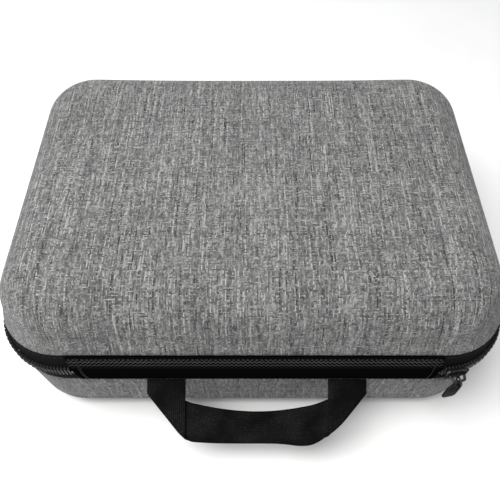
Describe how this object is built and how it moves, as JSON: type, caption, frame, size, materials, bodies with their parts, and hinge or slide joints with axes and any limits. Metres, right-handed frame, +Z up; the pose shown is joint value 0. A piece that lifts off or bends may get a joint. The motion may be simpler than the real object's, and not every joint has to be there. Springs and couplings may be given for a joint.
{
  "type": "zippered carrying case",
  "caption": "Zippered hard-shell carrying case for a golf launch monitor, covered in heathered fabric, with a webbing strap, cut foam insert and mesh lid pocket.",
  "frame": {"origin": "centre of the flat underside, on the ground", "axes": "+X along the case's length, +Z up out of the lid, -Y towards the hinge side, which carries the strap"},
  "size_m": [0.3296, 0.2684, 0.133],
  "materials": {
    "heather": "matte",
    "foam": "matte",
    "lining": "matte",
    "webbing": "matte",
    "tape": "matte",
    "coil": "satin",
    "gunmetal": "satin",
    "mesh": "matte"
  },
  "bodies": {
    "base": {"base_cover": "heather", "base_shell": "foam", "base_lining": "lining", "base_rim_binding": "tape", "lower_zipper_tape": "tape", "lower_zipper_coil": "coil", "left_end_stop": "gunmetal", "right_end_stop": "gunmetal", "hinge_webbing": "webbing", "hinge_backing": "lining", "left_strap_anchor": "webbing", "right_strap_anchor": "webbing", "insert_floor_pad": "foam", "foam_insert": "foam"},
    "lid": {"lid_cover": "heather", "lid_shell": "foam", "lid_lining": "lining", "lid_rim_binding": "tape", "upper_zipper_tape": "tape", "upper_zipper_coil": "coil", "lid_pad": "foam", "pocket_mesh": "mesh", "pocket_binding": "tape", "pocket_hem": "webbing"},
    "slider": {"slider_body": "gunmetal", "slider_bridge": "gunmetal"},
    "link": {"pull_link": "gunmetal"},
    "tab": {"pull_tab": "gunmetal"},
    "strap": {"carrying_strap": "webbing"}
  },
  "joints": [
    {"name": "lid_hinge", "type": "hinge", "parent": "base", "child": "lid", "pos_m": [0, -0.1195, 0.081], "axis": [1, 0, 0], "range_deg": [0, 105], "deforming": ["hinge_webbing", "hinge_backing"]},
    {"name": "zipper_run", "type": "hinge", "parent": "base", "child": "slider", "pos_m": [0.119, -0.073, 0.0755], "axis": [0, 0, 1], "range_deg": [0, 59]},
    {"name": "link_swing", "type": "hinge", "parent": "slider", "child": "link", "pos_m": [0.12903, -0.12459, 0.0755], "axis": [-0.9816, -0.1908, 0], "range_deg": [0, 75]},
    {"name": "tab_swing", "type": "hinge", "parent": "link", "child": "tab", "pos_m": [0.12903, -0.12459, 0.0716], "axis": [0.1908, -0.9816, 0], "range_deg": [-35, 35]},
    {"name": "strap_hinge", "type": "hinge", "parent": "base", "child": "strap", "pos_m": [0.003, -0.1175, 0.0594], "axis": [-1, 0, 0], "range_deg": [-30, 45]}
  ]
}
